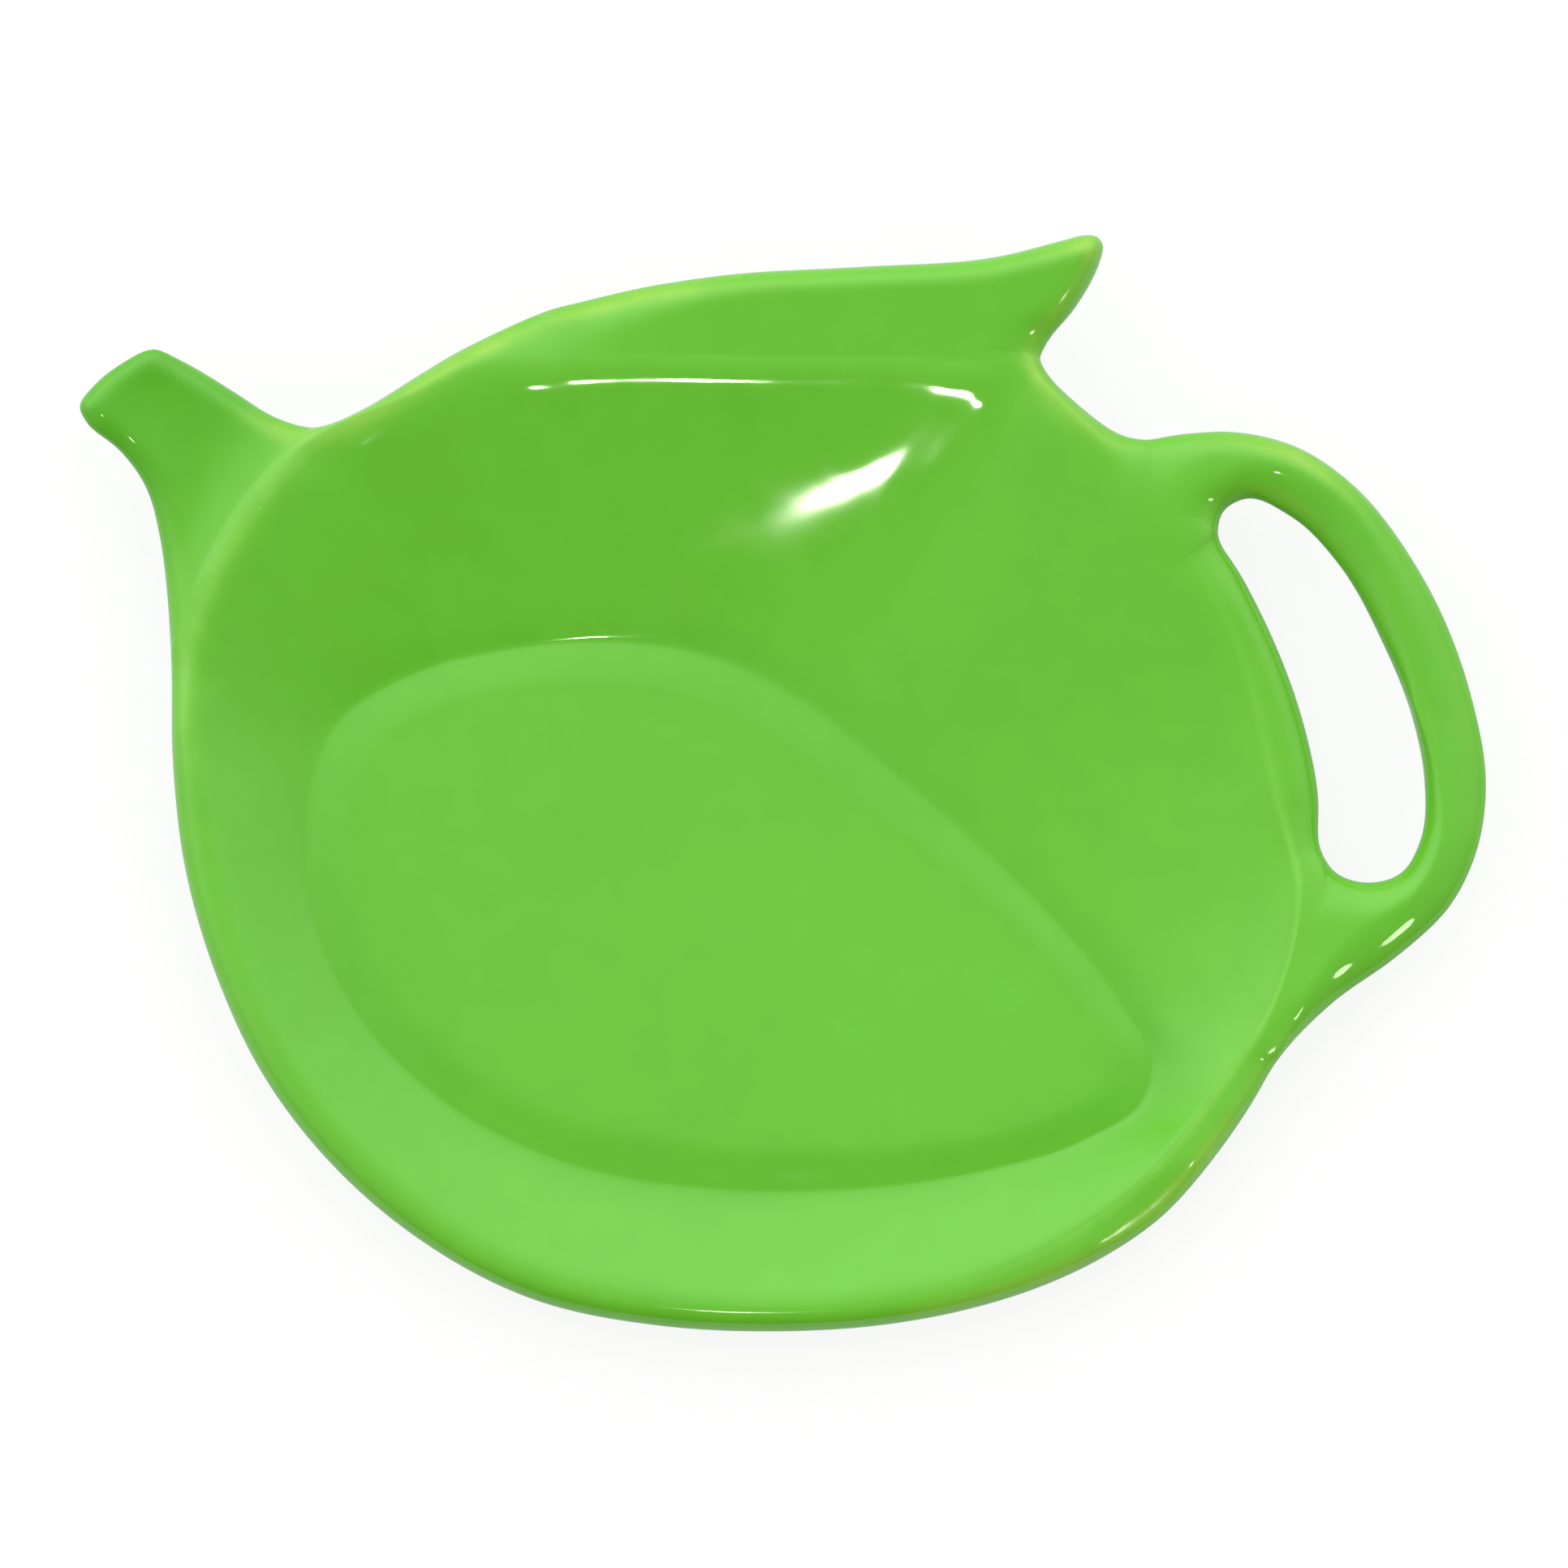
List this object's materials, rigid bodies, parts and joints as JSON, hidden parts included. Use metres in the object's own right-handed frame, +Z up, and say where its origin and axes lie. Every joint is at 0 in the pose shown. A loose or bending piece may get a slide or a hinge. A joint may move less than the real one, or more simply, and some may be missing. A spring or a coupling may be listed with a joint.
{
  "type": "tea bag rest",
  "caption": "Shallow glazed dish in the outline of a teapot, with a raised oval floor, spout, lid and looped handle, that holds a used tea bag.",
  "frame": {"origin": "on the table, under the middle of the outline's length and width", "axes": "+Z up out of the dish; -X towards the spout's tip, +X towards the handle, +Y towards the lid"},
  "size_m": [0.127, 0.099, 0.0128],
  "materials": {
    "glaze": "gloss",
    "bare_clay": "matte"
  },
  "bodies": {
    "root": {"dish": "glaze", "spout": "glaze", "lid": "glaze", "handle": "glaze", "foot_ring": "bare_clay"}
  },
  "joints": []
}
